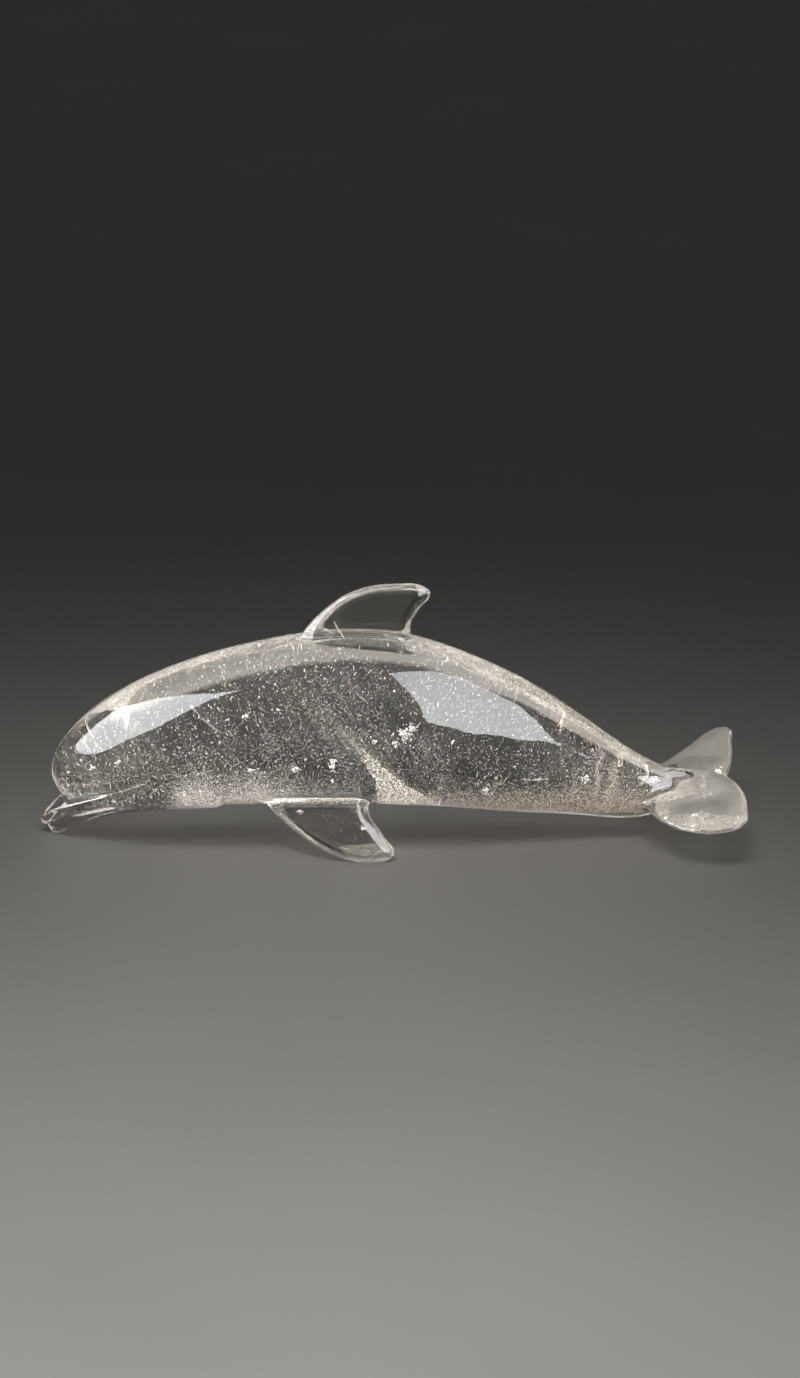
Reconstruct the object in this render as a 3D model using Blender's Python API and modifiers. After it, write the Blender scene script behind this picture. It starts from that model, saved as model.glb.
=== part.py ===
"""Carved rock-crystal dolphin: one solid, carved and polished from one piece of clear quartz.

Frame: +X runs to the tail, +Z is up, the head looks to -X, the dolphin's left side is at -Y.
It stands on the tip of its lower jaw and on the lower edges of its two pectoral fins, and its
tail hangs clear of the surface. All drafting numbers are in millimetres and are scaled by MM.
"""
import math

import bmesh
import bpy
from mathutils import Matrix, Vector

MM = 0.001

# --------------------------------------------------------------------------- driving sizes (mm)
NOSE_X = -96.4          # foremost point of the forehead (melon)
NOSE_Z = 19.2
STOCK_END_X = 88.0      # the body form ends inside the flukes
BODY_ROUNDNESS = 2.1    # superellipse exponent of the cross-sections

# Stations along the body: X and value. Each line is read as one smooth curve.
BACK_LINE = [(-91.1, 30.5), (-83.8, 37.6), (-74.2, 43.9), (-57.0, 51.5), (-35.0, 57.7), (-11.0, 60.7),
             (12.3, 57.2), (24.0, 52.4), (35.9, 46.7), (57.6, 32.2), (72.6, 21.9), (82.0, 17.6)]
BELLY_LINE = [(-95.2, 15.1), (-92.6, 12.3), (-84.0, 12.4), (-69.0, 10.5), (-50.0, 10.2), (-11.0, 10.7),
              (12.3, 9.7), (35.9, 7.5), (57.6, 5.6), (68.0, 4.9), (76.0, 7.0), (82.0, 10.6)]
HALF_WIDTH = [(-91.1, 9.8), (-83.8, 13.2), (-74.2, 16.0), (-57.0, 19.6), (-35.0, 21.0), (-11.0, 21.4),
              (12.3, 19.7), (35.9, 15.7), (57.6, 10.5), (72.6, 6.9), (82.0, 5.0)]

# Beak: one tapering form for both jaws, with a sharp ridge along each side of the upper jaw.
BEAK_TIP_X = -100.5
BEAK_TIP_Z = 4.2
BEAK_END_X = -50.0
BEAK_CREST = [(-99.3, 6.2), (-96.9, 8.5), (-93.7, 11.9), (-85.0, 15.6), (-76.0, 18.6), (-60.0, 24.0)]
BEAK_RIDGE = [(-99.3, 5.2), (-96.9, 7.6), (-92.0, 10.4), (-85.0, 14.1), (-76.7, 18.2), (-69.1, 22.2), (-60.0, 24.6)]
BEAK_UNDER = [(-99.4, 1.5), (-97.9, -0.3), (-95.4, -0.2), (-92.0, 1.5), (-84.0, 5.3), (-73.0, 8.1), (-60.0, 9.6)]
BEAK_HALF_WIDTH = [(-99.3, 1.8), (-96.9, 3.3), (-92.0, 6.0), (-85.0, 9.6), (-76.7, 13.1), (-69.1, 16.2), (-60.0, 16.6)]

# Dorsal fin: outline in the X-Z plane, swept back to a hooked tip. Corners are marked "V".
DORSAL_PLATE = 4.2
DORSAL_EDGE = 1.9
DORSAL = [(-31.0, 50.0, "V"), (-25.2, 61.0, "A"), (-18.4, 68.6, "A"), (-9.5, 74.0, "A"), (1.3, 75.8, "A"),
          (8.7, 75.0, "A"), (10.6, 72.9, "A"), (7.4, 68.0, "A"), (5.1, 62.6, "A"), (9.0, 50.0, "V")]

# Pectoral fins: outline in a plane that leans outward from the belly; v runs up that plane.
PECTORAL_ROOT_Y = 13.0
PECTORAL_ROOT_Z = 16.3
PECTORAL_LEAN = math.radians(25.0)
PECTORAL_PLATE = 4.2
PECTORAL_EDGE = 1.9
PECTORAL = [(-40.0, 6.0, "V"), (-35.2, -1.6, "A"), (-28.5, -8.4, "A"), (-19.4, -14.6, "A"), (-10.6, -17.9, "A"),
            (-3.9, -18.0, "A"), (0.7, -15.8, "A"), (-2.4, -10.2, "A"), (-6.5, -3.4, "A"), (-5.0, 6.0, "V")]

# Tail flukes: one outline for the pair, in a plane pitched up towards the trailing edge and rolled a little.
FLUKE_ROOT = (72.6, 0.0, 13.4)
FLUKE_PITCH = math.radians(9.0)
FLUKE_ROLL = math.radians(9.0)
FLUKE_PLATE = 4.4
FLUKE_EDGE = 1.9
FLUKES = [(-5.0, 0.0, "A"), (-2.6, -8.0, "A"), (2.6, -18.4, "A"), (9.5, -24.6, "A"), (17.0, -27.2, "A"),
          (24.4, -25.4, "A"), (26.9, -16.5, "A"), (25.4, -5.0, "A"), (22.7, 0.0, "V"),
          (25.0, 7.5, "A"), (26.2, 17.0, "A"), (26.2, 24.6, "A"), (23.6, 26.0, "A"), (12.6, 18.2, "A"),
          (3.0, 10.8, "A"), (-2.0, 7.0, "A")]

VOXEL = 0.75            # grain of the remesh that turns the joined forms into one skin
FILLET_PASSES = 9       # smoothing passes: they round the roots of the fins as a polisher does
TRIANGLES = 8200        # facets kept in the finished solid

CLEAR_QUARTZ = (0.86, 0.84, 0.80, 1.0)


# The drafting origin is moved by this much, so that the row's origin is under the middle of the box.
CENTRE_SHIFT = (0.3, 0.64, 0.0)


# --------------------------------------------------------------------------- curves through stations
def natural_spline(knots):
    """A C2 curve through (t, value) knots, returned as a function of t."""
    ts = [k[0] for k in knots]
    vs = [k[1] for k in knots]
    n = len(ts)
    h = [ts[i + 1] - ts[i] for i in range(n - 1)]
    diag, rhs, upper = [1.0] * n, [0.0] * n, [0.0] * n
    for i in range(1, n - 1):
        rhs_i = 6.0 * ((vs[i + 1] - vs[i]) / h[i] - (vs[i] - vs[i - 1]) / h[i - 1])
        w = 2.0 * (h[i - 1] + h[i]) - h[i - 1] * upper[i - 1]
        diag[i], upper[i] = w, h[i] / w
        rhs[i] = (rhs_i - h[i - 1] * rhs[i - 1]) / w
    m = [0.0] * n
    for i in range(n - 2, 0, -1):
        m[i] = rhs[i] - upper[i] * m[i + 1]

    def value(t):
        i = 0
        while i < n - 2 and t > ts[i + 1]:
            i += 1
        a, b = ts[i + 1] - t, t - ts[i]
        return ((m[i] * a ** 3 + m[i + 1] * b ** 3) / (6.0 * h[i])
                + (vs[i] / h[i] - m[i] * h[i] / 6.0) * a + (vs[i + 1] / h[i] - m[i + 1] * h[i] / 6.0) * b)
    return value


def blunt_line(x0, first, stations, x1, last):
    """A line that leaves its blunt front end squarely: it is smooth in sqrt(distance from the end)."""
    knots = [(0.0, first)] + [(math.sqrt(x - x0), v) for x, v in stations] + [(math.sqrt(x1 - x0), last)]
    curve = natural_spline(knots)
    return lambda x: curve(math.sqrt(max(0.0, x - x0)))


# --------------------------------------------------------------------------- building blocks
def link(name, mesh, collection, matrix=None):
    obj = bpy.data.objects.new(name, mesh)
    collection.objects.link(obj)
    if matrix is not None:
        obj.matrix_world = matrix
    return obj


def loft(name, rings, front, back, collection):
    """A closed skin through rings of equal length, ending in one point at each end."""
    size = len(rings[0])
    verts = [front] + [p for ring in rings for p in ring] + [back]
    faces = []
    for j in range(size):
        k = (j + 1) % size
        faces.append((0, 1 + k, 1 + j))
        faces.append((len(verts) - 1, len(verts) - 1 - size + j, len(verts) - 1 - size + k))
    for i in range(len(rings) - 1):
        a, b = 1 + i * size, 1 + (i + 1) * size
        for j in range(size):
            k = (j + 1) % size
            faces.append((a + j, a + k, b + k, b + j))
    mesh = bpy.data.meshes.new(name)
    mesh.from_pydata([Vector(p) * MM for p in verts], [], faces)
    mesh.validate()
    return link(name, mesh, collection)


def plate(name, outline, thickness, edge, matrix, collection):
    """A flat outline given thickness and a rounded edge: the blank of a fin."""
    curve = bpy.data.curves.new(name + "_outline", "CURVE")
    curve.dimensions = "2D"
    curve.fill_mode = "BOTH"
    curve.resolution_u = 6
    curve.extrude = (thickness / 2.0 - edge) * MM
    curve.bevel_depth = edge * MM
    curve.bevel_resolution = 3
    curve.offset = -edge * MM
    spline = curve.splines.new("BEZIER")
    spline.bezier_points.add(len(outline) - 1)
    spline.use_cyclic_u = True
    for point, (u, v, kind) in zip(spline.bezier_points, outline):
        point.co = (u * MM, v * MM, 0.0)
        handle = "VECTOR" if kind == "V" else "AUTO"
        point.handle_left_type = handle
        point.handle_right_type = handle
    drawing = bpy.data.objects.new(name + "_outline", curve)
    collection.objects.link(drawing)
    drawing.matrix_world = matrix
    bpy.context.view_layer.update()
    depsgraph = bpy.context.evaluated_depsgraph_get()
    mesh = bpy.data.meshes.new_from_object(drawing.evaluated_get(depsgraph))
    mesh.name = name
    bm = bmesh_from(mesh)
    bmesh.ops.remove_doubles(bm, verts=bm.verts, dist=0.01 * MM)
    bmesh.ops.recalc_face_normals(bm, faces=bm.faces)
    bm.to_mesh(mesh)
    bm.free()
    obj = link(name, mesh, collection, matrix)
    bpy.data.objects.remove(drawing)
    return obj


def bmesh_from(mesh):
    bm = bmesh.new()
    bm.from_mesh(mesh)
    return bm


def frame(origin, ex, ey):
    """A matrix whose local x, y and z are ex, ey (made square to ex) and their normal."""
    ex = Vector(ex).normalized()
    ez = ex.cross(Vector(ey)).normalized()
    ey = ez.cross(ex)
    rotation = Matrix((ex, ey, ez)).transposed().to_4x4()
    return Matrix.Translation(Vector(origin) * MM) @ rotation


# --------------------------------------------------------------------------- the forms
def superellipse(angle, power):
    c, s = math.cos(angle), math.sin(angle)
    return (math.copysign(abs(c) ** (2.0 / power), c), math.copysign(abs(s) ** (2.0 / power), s))


def make_body(collection, slices=84, around=72):
    back = blunt_line(NOSE_X, NOSE_Z, BACK_LINE, STOCK_END_X, 15.9)
    belly = blunt_line(NOSE_X, NOSE_Z, BELLY_LINE, STOCK_END_X, 15.3)
    width = blunt_line(NOSE_X, 0.0, HALF_WIDTH, STOCK_END_X, 3.4)
    rings = []
    reach = math.sqrt(STOCK_END_X - NOSE_X)
    for i in range(1, slices):
        x = NOSE_X + (reach * i / slices) ** 2
        zc, a, b = (back(x) + belly(x)) / 2.0, (back(x) - belly(x)) / 2.0, width(x)
        ring = []
        for j in range(around):
            y, z = superellipse(2.0 * math.pi * j / around, BODY_ROUNDNESS)
            ring.append((x, b * y, zc + a * z))
        rings.append(ring)
    return loft("body_form", rings, (NOSE_X, 0.0, NOSE_Z), (STOCK_END_X, 0.0, 15.6), collection)


def make_beak(collection, slices=44, under=28, over=14):
    crest = blunt_line(BEAK_TIP_X, BEAK_TIP_Z, BEAK_CREST, BEAK_END_X, 25.0)
    ridge = blunt_line(BEAK_TIP_X, BEAK_TIP_Z, BEAK_RIDGE, BEAK_END_X, 24.0)
    jaw = blunt_line(BEAK_TIP_X, BEAK_TIP_Z, BEAK_UNDER, BEAK_END_X, 10.6)
    width = blunt_line(BEAK_TIP_X, 0.0, BEAK_HALF_WIDTH, BEAK_END_X, 15.0)
    rings = []
    reach = math.sqrt(BEAK_END_X - BEAK_TIP_X)
    for i in range(1, slices + 1):
        x = BEAK_TIP_X + (reach * i / slices) ** 2
        w, zr, zt, zb = width(x), ridge(x), crest(x), jaw(x)
        ring = []
        for j in range(over):                       # over the top, from the right ridge to the left one
            u = 1.0 - 2.0 * j / over
            rise = 1.0 - abs(u) ** 1.5
            ring.append((x, w * u, zr + (zt - zr) * rise))
        for j in range(under):                      # round the jaw, from the left ridge to the right one
            y, z = superellipse(math.pi + math.pi * j / under, 2.2)
            ring.append((x, w * y, zr + (zr - zb) * z))
        rings.append(ring)
    zc = (crest(BEAK_END_X) + jaw(BEAK_END_X)) / 2.0
    return loft("beak_form", rings, (BEAK_TIP_X, 0.0, BEAK_TIP_Z), (BEAK_END_X, 0.0, zc), collection)


def make_fins(collection):
    lean_s, lean_c = math.sin(PECTORAL_LEAN), math.cos(PECTORAL_LEAN)
    upright = frame((0.0, 0.0, 0.0), (1.0, 0.0, 0.0), (0.0, 0.0, 1.0))
    forms = [plate("dorsal_form", DORSAL, DORSAL_PLATE, DORSAL_EDGE, upright, collection)]
    for side, tag in ((-1.0, "left"), (1.0, "right")):
        leaning = frame((0.0, side * PECTORAL_ROOT_Y, PECTORAL_ROOT_Z), (1.0, 0.0, 0.0), (0.0, -side * lean_s, lean_c))
        forms.append(plate("pectoral_form_" + tag, PECTORAL, PECTORAL_PLATE, PECTORAL_EDGE, leaning, collection))
    along = (math.cos(FLUKE_PITCH), 0.0, math.sin(FLUKE_PITCH))
    across = (0.0, math.cos(FLUKE_ROLL), math.sin(FLUKE_ROLL))
    forms.append(plate("fluke_form", FLUKES, FLUKE_PLATE, FLUKE_EDGE, frame(FLUKE_ROOT, along, across), collection))
    return forms


def make_ground(collection):
    """A block under z = 0 that grinds the resting flats on the jaw and the two pectoral fins."""
    bpy.ops.mesh.primitive_cube_add(size=1.0, location=(0.0, 0.0, -10.0 * MM))
    ground = bpy.context.object
    ground.name = "ground_cutter"
    ground.scale = (260.0 * MM, 120.0 * MM, 20.0 * MM)
    bpy.context.view_layer.update()
    ground.data.transform(Matrix.Diagonal((*ground.scale, 1.0)))
    ground.scale = (1.0, 1.0, 1.0)
    for owner in list(ground.users_collection):
        owner.objects.unlink(ground)
    collection.objects.link(ground)
    return ground


def quartz():
    material = bpy.data.materials.new("rock_crystal")
    material.use_nodes = True
    shader = material.node_tree.nodes["Principled BSDF"]
    shader.inputs["Base Color"].default_value = CLEAR_QUARTZ
    shader.inputs["Roughness"].default_value = 0.03
    shader.inputs["Metallic"].default_value = 0.0
    shader.inputs["IOR"].default_value = 1.544
    shader.inputs["Transmission Weight"].default_value = 1.0
    return material


def modify(obj, name, kind, **settings):
    modifier = obj.modifiers.new(name, kind)
    for key, value in settings.items():
        setattr(modifier, key, value)
    return modifier


def main():
    for obj in list(bpy.data.objects):
        bpy.data.objects.remove(obj)
    parts = bpy.data.collections.new("carved_crystal_dolphin")
    cutters = bpy.data.collections.new("carving_forms")
    for collection in (parts, cutters):
        bpy.context.scene.collection.children.link(collection)

    dolphin = make_body(parts)
    dolphin.name = "crystal_dolphin"
    dolphin.data.name = "crystal_dolphin"
    dolphin.data.materials.append(quartz())

    forms = [make_beak(cutters)] + make_fins(cutters)
    for form in forms:
        modify(dolphin, "join_" + form.name, "BOOLEAN", operation="UNION", solver="EXACT", object=form)
    modify(dolphin, "one_skin", "REMESH", mode="VOXEL", voxel_size=VOXEL * MM, use_smooth_shade=True)
    modify(dolphin, "polish", "SMOOTH", factor=0.5, iterations=FILLET_PASSES)

    # The number of facets is set from what the polished skin has.
    bpy.context.view_layer.update()
    skin = dolphin.evaluated_get(bpy.context.evaluated_depsgraph_get()).to_mesh()
    facets = sum(len(polygon.vertices) - 2 for polygon in skin.polygons)
    modify(dolphin, "facets", "DECIMATE", decimate_type="COLLAPSE", ratio=min(1.0, TRIANGLES / facets),
           use_collapse_triangulate=True)

    ground = make_ground(cutters)
    carrier = bpy.data.objects.new("carving_origin", None)
    cutters.objects.link(carrier)
    for form in [dolphin, ground] + forms:
        form.parent = carrier
    carrier.location = Vector(CENTRE_SHIFT) * MM
    bpy.context.view_layer.update()
    modify(dolphin, "resting_flats", "BOOLEAN", operation="DIFFERENCE", solver="EXACT", object=ground)
    for form in forms + [ground]:
        form.hide_render = True
        form.display_type = "WIRE"




main()
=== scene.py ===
"""Looks of the carved rock-crystal dolphin: the polished surface, what is sealed in the stone, floor and light."""
import math

import bmesh
import bpy
import numpy as np
from mathutils import Matrix, Vector


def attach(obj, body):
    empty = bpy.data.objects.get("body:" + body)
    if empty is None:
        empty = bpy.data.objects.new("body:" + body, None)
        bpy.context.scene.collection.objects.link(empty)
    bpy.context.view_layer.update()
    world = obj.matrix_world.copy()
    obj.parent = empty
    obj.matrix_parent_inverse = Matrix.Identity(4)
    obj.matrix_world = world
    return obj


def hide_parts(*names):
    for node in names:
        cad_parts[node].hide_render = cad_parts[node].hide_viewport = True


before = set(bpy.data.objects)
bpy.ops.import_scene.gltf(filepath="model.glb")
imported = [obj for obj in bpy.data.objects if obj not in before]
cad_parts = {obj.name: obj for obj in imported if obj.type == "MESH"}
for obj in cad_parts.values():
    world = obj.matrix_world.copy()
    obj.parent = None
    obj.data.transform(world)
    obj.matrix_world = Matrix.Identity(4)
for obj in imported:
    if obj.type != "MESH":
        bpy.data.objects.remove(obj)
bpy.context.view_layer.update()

MM = 0.001
SEED = 9352

# =============================================================================== the carved form
# The same driving sizes as the CAD solid, in millimetres, in the drafting frame.
SHIFT = np.array((0.3, 0.64, 0.0))

NOSE_X, NOSE_Z = -96.4, 19.2
STOCK_END_X = 88.0
BODY_ROUNDNESS = 2.1
BACK_LINE = [(-91.1, 30.5), (-83.8, 37.6), (-74.2, 43.9), (-57.0, 51.5), (-35.0, 57.7), (-11.0, 60.7),
             (12.3, 57.2), (24.0, 52.4), (35.9, 46.7), (57.6, 32.2), (72.6, 21.9), (82.0, 17.6)]
BELLY_LINE = [(-95.2, 15.1), (-92.6, 12.3), (-84.0, 12.4), (-69.0, 10.5), (-50.0, 10.2), (-11.0, 10.7),
              (12.3, 9.7), (35.9, 7.5), (57.6, 5.6), (68.0, 4.9), (76.0, 7.0), (82.0, 10.6)]
HALF_WIDTH = [(-91.1, 9.8), (-83.8, 13.2), (-74.2, 16.0), (-57.0, 19.6), (-35.0, 21.0), (-11.0, 21.4),
              (12.3, 19.7), (35.9, 15.7), (57.6, 10.5), (72.6, 6.9), (82.0, 5.0)]

BEAK_TIP_X, BEAK_TIP_Z = -100.2, 4.2
BEAK_END_X = -50.0
BEAK_CREST = [(-99.3, 6.2), (-96.9, 8.5), (-93.7, 11.9), (-85.0, 15.6), (-76.0, 18.6), (-60.0, 24.0)]
BEAK_RIDGE = [(-99.3, 5.2), (-96.9, 7.6), (-92.0, 10.4), (-85.0, 14.1), (-76.7, 18.2), (-69.1, 22.2), (-60.0, 24.6)]
BEAK_UNDER = [(-99.4, 1.5), (-97.9, -0.3), (-95.4, -0.2), (-92.0, 1.5), (-84.0, 5.3), (-73.0, 8.1), (-60.0, 9.6)]
BEAK_HALF_WIDTH = [(-99.3, 1.8), (-96.9, 3.3), (-92.0, 6.0), (-85.0, 9.6), (-76.7, 13.1), (-69.1, 16.2), (-60.0, 16.6)]
LOWER_JAW_SETBACK = 1.3
MOUTH_LINE = [(-101.0, 2.1), (-98.5, 2.6), (-96.5, 3.9), (-94.8, 5.4), (-90.5, 8.0), (-84.9, 10.4), (-80.4, 12.1), (-74.0, 14.0)]

DORSAL_HALF, DORSAL_BAND = 2.2, 3.0
DORSAL = [(-31.0, 50.0, "V"), (-25.2, 61.0, "A"), (-18.4, 68.6, "A"), (-9.5, 74.0, "A"), (1.3, 75.8, "A"),
          (8.7, 75.0, "A"), (10.6, 72.9, "A"), (7.4, 68.0, "A"), (5.1, 62.6, "A"), (9.0, 50.0, "V")]

PECTORAL_ROOT_Y, PECTORAL_ROOT_Z = 13.0, 16.3
PECTORAL_LEAN = math.radians(25.0)
PECTORAL_HALF, PECTORAL_BAND = 2.25, 2.9
PECTORAL = [(-40.0, 6.0, "V"), (-35.2, -1.6, "A"), (-28.5, -8.4, "A"), (-19.4, -14.6, "A"), (-10.6, -17.9, "A"),
            (-3.9, -18.0, "A"), (0.7, -15.8, "A"), (-2.4, -10.2, "A"), (-6.5, -3.4, "A"), (-5.0, 6.0, "V")]

FLUKE_ROOT = (72.6, 0.0, 13.4)
FLUKE_PITCH, FLUKE_ROLL = math.radians(9.0), math.radians(9.0)
FLUKE_BAND = 6.0
FLUKES = [(-5.0, 0.0, "A"), (-2.6, -8.0, "A"), (2.6, -18.4, "A"), (9.5, -24.6, "A"), (17.0, -27.2, "A"),
          (24.4, -25.4, "A"), (26.9, -16.5, "A"), (25.4, -5.0, "A"), (22.7, 0.0, "V"),
          (25.0, 7.5, "A"), (26.2, 17.0, "A"), (26.2, 24.6, "A"), (23.6, 26.0, "A"), (12.6, 18.2, "A"),
          (3.0, 10.8, "A"), (-2.0, 7.0, "A")]

CREASE_FILLET, DORSAL_FILLET, PECTORAL_FILLET, FLUKE_FILLET = 1.2, 1.7, 2.0, 1.6


class Line:
    """A natural cubic spline through (t, value) knots, read for whole arrays at once."""

    def __init__(self, knots):
        self.t = np.array([k[0] for k in knots], float)
        self.v = np.array([k[1] for k in knots], float)
        n = len(self.t)
        h = np.diff(self.t)
        a = np.eye(n)
        r = np.zeros(n)
        for i in range(1, n - 1):
            a[i, i - 1], a[i, i], a[i, i + 1] = h[i - 1], 2.0 * (h[i - 1] + h[i]), h[i]
            r[i] = 6.0 * ((self.v[i + 1] - self.v[i]) / h[i] - (self.v[i] - self.v[i - 1]) / h[i - 1])
        self.m = np.linalg.solve(a, r)
        self.h = h

    def __call__(self, t):
        t = np.clip(t, self.t[0], self.t[-1])
        i = np.clip(np.searchsorted(self.t, t) - 1, 0, len(self.h) - 1)
        h, a, b = self.h[i], self.t[i + 1] - t, t - self.t[i]
        m0, m1, v0, v1 = self.m[i], self.m[i + 1], self.v[i], self.v[i + 1]
        return (m0 * a ** 3 + m1 * b ** 3) / (6.0 * h) + (v0 / h - m0 * h / 6.0) * a + (v1 / h - m1 * h / 6.0) * b


def blunt(x0, first, stations, x1, last):
    return Line([(0.0, first)] + [(math.sqrt(x - x0), v) for x, v in stations] + [(math.sqrt(x1 - x0), last)])


def outline_points(outline, steps=24):
    """The closed curve that a drawn outline gives: smooth at "A" points, cornered at "V" points."""
    n = len(outline)
    p = [np.array(o[:2], float) for o in outline]
    left, right = [], []
    for i in range(n):
        prev, here, nxt = p[i - 1], p[i], p[(i + 1) % n]
        la, lb = np.linalg.norm(here - prev), np.linalg.norm(nxt - here)
        if outline[i][2] == "V":
            left.append(here + (prev - here) / 3.0)
            right.append(here + (nxt - here) / 3.0)
            continue
        way = (here - prev) / la + (nxt - here) / lb
        size = np.linalg.norm(way) * 2.5614
        left.append(here - way * la / size)
        right.append(here + way * lb / size)
    pts = []
    for i in range(n):
        j = (i + 1) % n
        for k in range(steps):
            s = k / steps
            pts.append((1 - s) ** 3 * p[i] + 3 * s * (1 - s) ** 2 * right[i] + 3 * s * s * (1 - s) * left[j] + s ** 3 * p[j])
    return np.array(pts)


class Outline:
    """Signed distance to a flat outline (negative inside), kept on a grid and read as a smooth B-spline."""

    def __init__(self, outline, pitch=0.3, margin=7.0):
        pts = outline_points(outline)
        nxt = np.roll(pts, -1, axis=0)
        lo, hi = pts.min(0) - margin, pts.max(0) + margin
        self.lo, self.pitch = lo, pitch
        us = np.arange(lo[0], hi[0], pitch)
        vs = np.arange(lo[1], hi[1], pitch)
        U, V = np.meshgrid(us, vs, indexing="ij")
        best = np.full(U.shape, 1e9)
        inside = np.zeros(U.shape, bool)
        for a, b in zip(pts, nxt):
            d = b - a
            t = np.clip(((U - a[0]) * d[0] + (V - a[1]) * d[1]) / max(d @ d, 1e-12), 0.0, 1.0)
            best = np.minimum(best, (U - a[0] - t * d[0]) ** 2 + (V - a[1] - t * d[1]) ** 2)
            if a[1] != b[1]:
                crosses = ((a[1] > V) != (b[1] > V)) & (U < a[0] + (V - a[1]) / (b[1] - a[1]) * d[0])
                inside ^= crosses
        self.grid = np.where(inside, -1.0, 1.0) * np.sqrt(best)

    def __call__(self, u, v):
        fu = (u - self.lo[0]) / self.pitch
        fv = (v - self.lo[1]) / self.pitch
        nu, nv = self.grid.shape
        fu, fv = np.clip(fu, 1.001, nu - 2.001), np.clip(fv, 1.001, nv - 2.001)
        iu, iv = np.floor(fu).astype(int), np.floor(fv).astype(int)
        tu, tv = fu - iu, fv - iv

        def weights(t):
            return ((1 - t) ** 3 / 6, (3 * t ** 3 - 6 * t * t + 4) / 6, (-3 * t ** 3 + 3 * t * t + 3 * t + 1) / 6, t ** 3 / 6)
        wu, wv = weights(tu), weights(tv)
        out = 0.0
        for a in range(4):
            row = 0.0
            for b in range(4):
                row = row + wv[b] * self.grid[iu + a - 1, iv + b - 1]
            out = out + wu[a] * row
        return out


def smooth_min(a, b, k):
    h = np.clip(0.5 + 0.5 * (b - a) / k, 0.0, 1.0)
    return b + (a - b) * h - k * h * (1.0 - h)


def smooth_max(a, b, k):
    return -smooth_min(-a, -b, k)


def step(lo, hi, t):
    s = np.clip((t - lo) / (hi - lo), 0.0, 1.0)
    return s * s * (3.0 - 2.0 * s)


def as_distance(field, x, y, z, e=0.05):
    gx = field(x + e, y, z) - field(x - e, y, z)
    gy = field(x, y + e, z) - field(x, y - e, z)
    gz = field(x, y, z + e) - field(x, y, z - e)
    return field(x, y, z) * (2.0 * e) / np.sqrt(gx * gx + gy * gy + gz * gz + 1e-9)


back = blunt(NOSE_X, NOSE_Z, BACK_LINE, STOCK_END_X, 15.9)
belly = blunt(NOSE_X, NOSE_Z, BELLY_LINE, STOCK_END_X, 15.3)
width = blunt(NOSE_X, 0.0, HALF_WIDTH, STOCK_END_X, 3.4)
crest = blunt(BEAK_TIP_X, BEAK_TIP_Z, BEAK_CREST, BEAK_END_X, 25.0)
ridge = blunt(BEAK_TIP_X, BEAK_TIP_Z, BEAK_RIDGE, BEAK_END_X, 24.0)
jaw = blunt(BEAK_TIP_X, BEAK_TIP_Z, BEAK_UNDER, BEAK_END_X, 10.6)
beak_width = blunt(BEAK_TIP_X, 0.0, BEAK_HALF_WIDTH, BEAK_END_X, 15.0)
mouth = Line(MOUTH_LINE)
dorsal_outline, pectoral_outline, fluke_outline = Outline(DORSAL), Outline(PECTORAL), Outline(FLUKES)


def body_field(x, y, z):
    q = x - NOSE_X
    u = np.maximum(np.sqrt(np.maximum(q, 0.0)), 0.3)
    top, low = back(u), belly(u)
    a, w, zc = (top - low) / (2.0 * u), width(u) / u, (top + low) / 2.0
    p = BODY_ROUNDNESS
    return ((np.abs(y) / w) ** p + (np.abs(z - zc) / a) ** p) ** (2.0 / p) - q


def jaw_field(x, y, z):
    x = x - LOWER_JAW_SETBACK * step(2.9, 1.7, z) * step(-90.0, -98.0, x)
    q = x - BEAK_TIP_X
    u = np.maximum(np.sqrt(np.maximum(q, 0.0)), 0.3)
    zr, zb, w = ridge(u), jaw(u), beak_width(u) / u
    b = (zr - zb) / u
    return ((np.abs(y) / w) ** 2.2 + (np.maximum(zr - z, 0.0) / b) ** 2.2) ** (2.0 / 2.2) - q


def beak_top_field(x, y, z):
    u = np.maximum(np.sqrt(np.maximum(x - BEAK_TIP_X, 0.0)), 0.3)
    zr, zt, w = ridge(u), crest(u), beak_width(u)
    return z - (zr + (zt - zr) * (1.0 - (np.abs(y) / w) ** 1.5))


def plate_field(s, t, half, band, rim=0.3, soft=0.3, edge=1.1):
    """A flat blade with a chamfer cut all round it. s is the distance to its outline, t the distance from its
    middle plane, band the width of the chamfer, rim the share of the thickness left at the edge."""
    t = np.abs(t)
    drop = half * (1.0 - rim)
    norm = np.sqrt(drop * drop + band * band)
    chamfer = ((s + band) * drop + (t - half) * band) / norm
    return smooth_max(smooth_max(t - half, chamfer, soft), s, edge)


def dorsal_field(x, y, z):
    half = DORSAL_HALF * (1.12 - 0.22 * step(60.0, 76.0, z))
    return plate_field(dorsal_outline(x, z), y, half, DORSAL_BAND)


def pectoral_field(x, y, z, side):
    s, c = math.sin(PECTORAL_LEAN), math.cos(PECTORAL_LEAN)
    ry, rz = y - side * PECTORAL_ROOT_Y, z - PECTORAL_ROOT_Z
    v, t = -side * s * ry + c * rz, c * ry + side * s * rz
    half = PECTORAL_HALF * (1.08 - 0.16 * step(-2.0, -18.0, v))
    return plate_field(pectoral_outline(x, v), t, half, PECTORAL_BAND)


FLUKE_EX = Vector((math.cos(FLUKE_PITCH), 0.0, math.sin(FLUKE_PITCH))).normalized()
FLUKE_EZ = FLUKE_EX.cross(Vector((0.0, math.cos(FLUKE_ROLL), math.sin(FLUKE_ROLL)))).normalized()
FLUKE_EY = FLUKE_EZ.cross(FLUKE_EX)


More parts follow.
